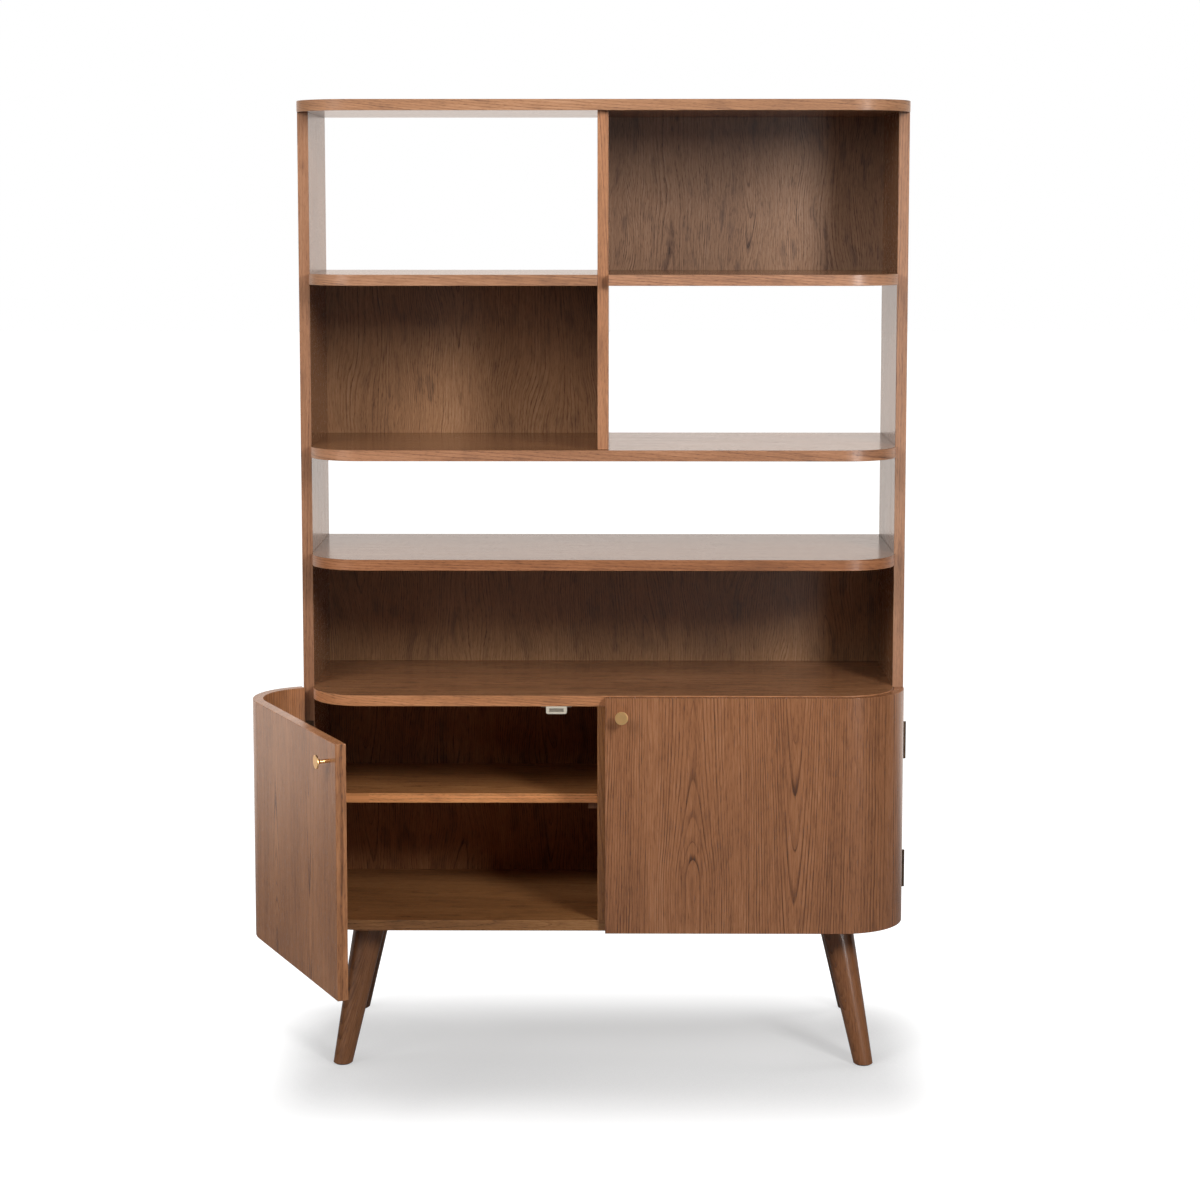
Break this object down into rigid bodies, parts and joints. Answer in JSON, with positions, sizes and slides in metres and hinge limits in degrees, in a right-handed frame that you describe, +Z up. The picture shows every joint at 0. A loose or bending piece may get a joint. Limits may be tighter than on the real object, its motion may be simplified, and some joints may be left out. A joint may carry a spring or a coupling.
{
  "type": "bookcase with cabinet doors",
  "caption": "Open bookcase with rounded shelf fronts and part backs, over a cabinet with bent hinged doors, on splayed tapered legs.",
  "frame": {"origin": "on the floor, midway between the outer faces of the side panels and midway between the back edges and the front edges of the shelves", "axes": "+Z up, +X to the right seen from the front, +Y towards the back, so the doors open towards -Y"},
  "size_m": [1.2047, 0.854, 1.78],
  "materials": {
    "carcass_veneer": "satin lacquer over stained ash veneer",
    "door_veneer": "satin lacquer over stained ash veneer, grain upright",
    "back_veneer": "satin lacquer over stained ash veneer, grain upright",
    "leg_wood": "satin lacquer over stained solid ash",
    "cleat_wood": "stained solid wood",
    "dowel_wood": "plain beech",
    "knob_brass": "polished, lightly aged",
    "hinge_bronze": "dark antique bronze",
    "screw_bronze": "dark antique bronze",
    "zinc_steel": "zinc plated",
    "catch_plastic": "moulded, semi-gloss cream",
    "magnet_steel": "bare steel poles on a dark magnet",
    "glide_plastic": "matt dark brown"
  },
  "bodies": {
    "carcass": {"back_panel_cabinet": "back_veneer", "back_panel_lower": "back_veneer", "back_panel_middle_left": "back_veneer", "back_panel_screws": "zinc_steel", "back_panel_upper_right": "back_veneer", "cabinet_bottom": "carcass_veneer", "cabinet_partition": "carcass_veneer", "cabinet_shelf_left": "carcass_veneer", "cabinet_shelf_right": "carcass_veneer", "cabinet_top": "carcass_veneer", "catch_housing_left": "catch_plastic", "catch_housing_right": "catch_plastic", "catch_magnet_left": "magnet_steel", "catch_magnet_right": "magnet_steel", "catch_screws": "zinc_steel", "centre_divider": "carcass_veneer", "cleat_screws": "zinc_steel", "dowels": "dowel_wood", "foot_glides": "glide_plastic", "hinge_frame_leaf_left_lower": "hinge_bronze", "hinge_frame_leaf_left_upper": "hinge_bronze", "hinge_frame_leaf_right_lower": "hinge_bronze", "hinge_frame_leaf_right_upper": "hinge_bronze", "hinge_frame_screws": "screw_bronze", "hinge_pins": "hinge_bronze", "leg_bolts": "zinc_steel", "leg_front_left": "leg_wood", "leg_front_right": "leg_wood", "leg_plate_front_left": "zinc_steel", "leg_plate_front_right": "zinc_steel", "leg_plate_rear_left": "zinc_steel", "leg_plate_rear_right": "zinc_steel", "leg_plate_screws": "zinc_steel", "leg_rear_left": "leg_wood", "leg_rear_right": "leg_wood", "shelf_cleat_left_inner": "cleat_wood", "shelf_cleat_left_outer": "cleat_wood", "shelf_cleat_right_inner": "cleat_wood", "shelf_cleat_right_outer": "cleat_wood", "shelf_lower": "carcass_veneer", "shelf_middle": "carcass_veneer", "shelf_upper_left": "carcass_veneer", "shelf_upper_right": "carcass_veneer", "side_panel_left": "carcass_veneer", "side_panel_right": "carcass_veneer", "top_board": "carcass_veneer"},
    "left_door": {"door_left": "door_veneer", "hinge_door_leaf_left_upper": "hinge_bronze", "hinge_door_leaf_left_lower": "hinge_bronze", "door_screws_left": "screw_bronze", "knob_left": "knob_brass", "knob_screw_left": "zinc_steel", "strike_plate_left": "zinc_steel"},
    "right_door": {"door_right": "door_veneer", "hinge_door_leaf_right_upper": "hinge_bronze", "hinge_door_leaf_right_lower": "hinge_bronze", "door_screws_right": "screw_bronze", "knob_right": "knob_brass", "knob_screw_right": "zinc_steel", "strike_plate_right": "zinc_steel"}
  },
  "joints": [
    {"name": "left_door_hinge", "type": "hinge", "parent": "carcass", "child": "left_door", "pos_m": [-0.563, -0.0915, 0.479], "axis": [0, 0, -1], "range_deg": [-65, 110]},
    {"name": "right_door_hinge", "type": "hinge", "parent": "carcass", "child": "right_door", "pos_m": [0.563, -0.0915, 0.479], "axis": [0, 0, 1], "range_deg": [0, 175]}
  ]
}
